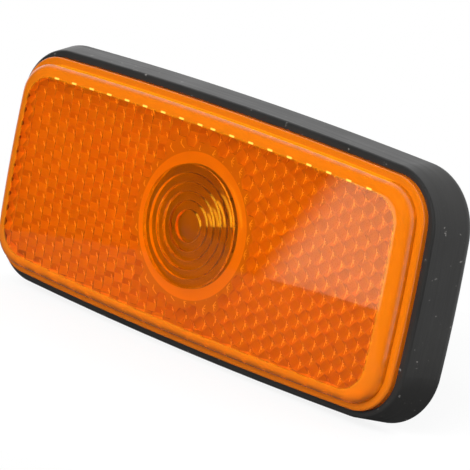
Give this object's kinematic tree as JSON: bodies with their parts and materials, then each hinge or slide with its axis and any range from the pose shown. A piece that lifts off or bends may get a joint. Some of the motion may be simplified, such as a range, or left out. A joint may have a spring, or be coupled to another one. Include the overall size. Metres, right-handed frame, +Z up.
{
  "type": "side marker lamp",
  "caption": "Oblong amber side marker lamp with a reflex lens, a ring lens in the middle, a flared rubber boot, rear mounting studs and a twist-lock bulb holder.",
  "frame": {"origin": "middle of the mounting face, on the lamp's centre line between the two studs", "axes": "+X along the lamp, +Y out of the back into the vehicle panel, +Z up; the lens faces -Y"},
  "size_m": [0.109, 0.0534, 0.0478],
  "materials": {
    "amber_lens": "clear amber acrylic, polished front, cube-corner prisms behind",
    "boot_rubber": "moulded matt black rubber",
    "body_plastic": "moulded white plastic",
    "stud_steel": "zinc plated",
    "holder_plastic": "moulded dark grey plastic",
    "seal_rubber": "matt black rubber",
    "terminal_brass": "stamped brass strip",
    "bulb_glass": "clear glass",
    "lead_wire": "drawn wire",
    "filament_wire": "drawn tungsten wire"
  },
  "bodies": {
    "root": {"lens": "amber_lens", "rubber_boot": "boot_rubber", "lamp_body": "body_plastic", "mounting_studs": "stud_steel", "bulb_holder": "holder_plastic", "holder_seal": "seal_rubber", "terminals": "terminal_brass", "bulb_glass": "bulb_glass", "bulb_leads": "lead_wire", "bulb_filament": "filament_wire"}
  },
  "joints": []
}
